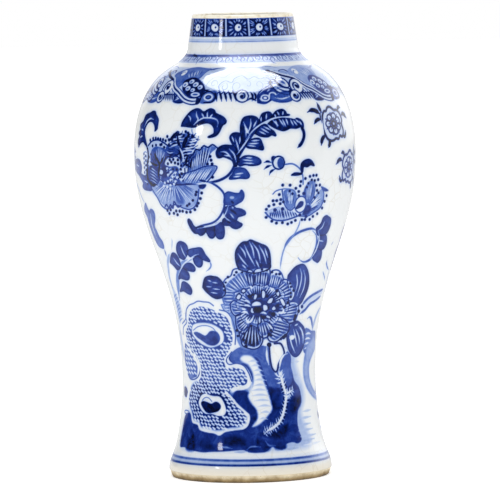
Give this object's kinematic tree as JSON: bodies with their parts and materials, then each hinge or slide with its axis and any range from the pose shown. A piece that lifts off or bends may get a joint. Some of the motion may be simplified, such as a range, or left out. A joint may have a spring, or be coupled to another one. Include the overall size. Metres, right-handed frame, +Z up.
{
  "type": "meiping vase",
  "caption": "Tall baluster vase with a high round shoulder, short neck, drawn-in waist and flared foot, open at the mouth for cut branches and flowers.",
  "frame": {"origin": "centre of the foot ring, in the plane that the vase stands on", "axes": "+Z up along the axis of the pot, towards the mouth; -Y faces the camera of the picture, +X is its right"},
  "size_m": [0.1198, 0.1198, 0.25],
  "materials": {
    "biscuit": "matt fired clay, tan where it is bare",
    "slip": "matt, pale",
    "glaze": "glossy, cool white over cobalt painting"
  },
  "bodies": {
    "root": {"foot_section": "biscuit", "lower_body": "biscuit", "shoulder_section": "biscuit", "neck_section": "biscuit", "waist_seam": "slip", "belly_seam": "slip", "neck_seam": "slip", "outer_glaze": "glaze", "inner_glaze": "glaze", "base_glaze": "glaze"}
  },
  "joints": []
}
